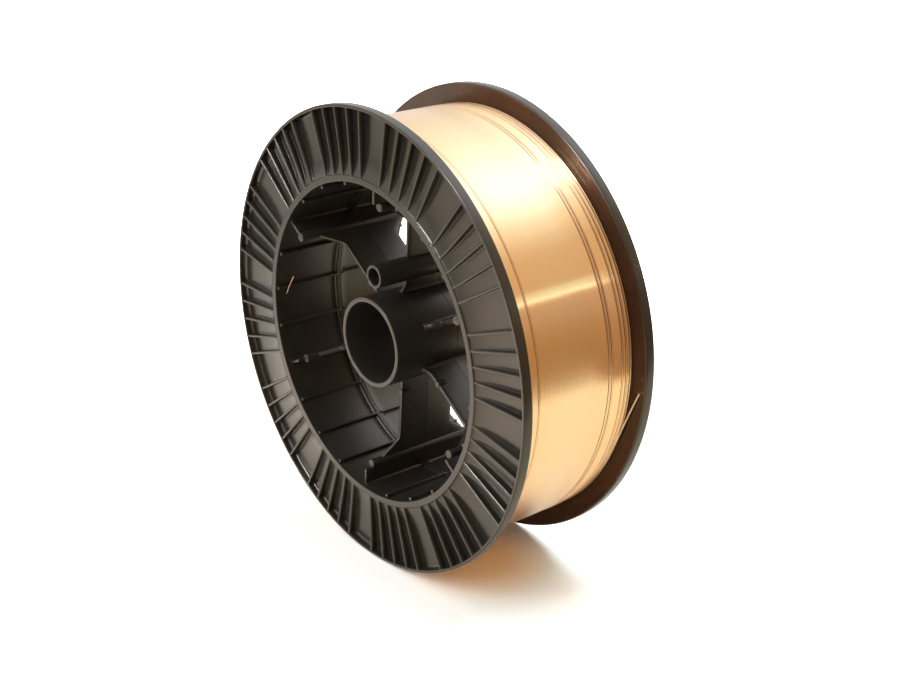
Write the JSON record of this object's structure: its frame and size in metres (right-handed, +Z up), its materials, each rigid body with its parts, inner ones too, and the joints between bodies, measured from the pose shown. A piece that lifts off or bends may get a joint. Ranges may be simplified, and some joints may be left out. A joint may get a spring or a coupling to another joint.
{
  "type": "welding wire spool",
  "caption": "Flanged plastic spool with ribbed dished flanges, open drum, hub bore and driving hole, full of copper coated welding wire.",
  "frame": {"origin": "centre of the hub bore at mid width", "axes": "+Y along the spool's axis from the front face to the rear face, +Z up as it stands on its rims"},
  "size_m": [0.3, 0.103, 0.3],
  "materials": {
    "spool_plastic": "semi gloss moulded",
    "coated_wire": "bright copper coated steel"
  },
  "bodies": {
    "root": {"spool_half_front": "spool_plastic", "spool_half_rear": "spool_plastic", "wire_coil": "coated_wire"}
  },
  "joints": []
}
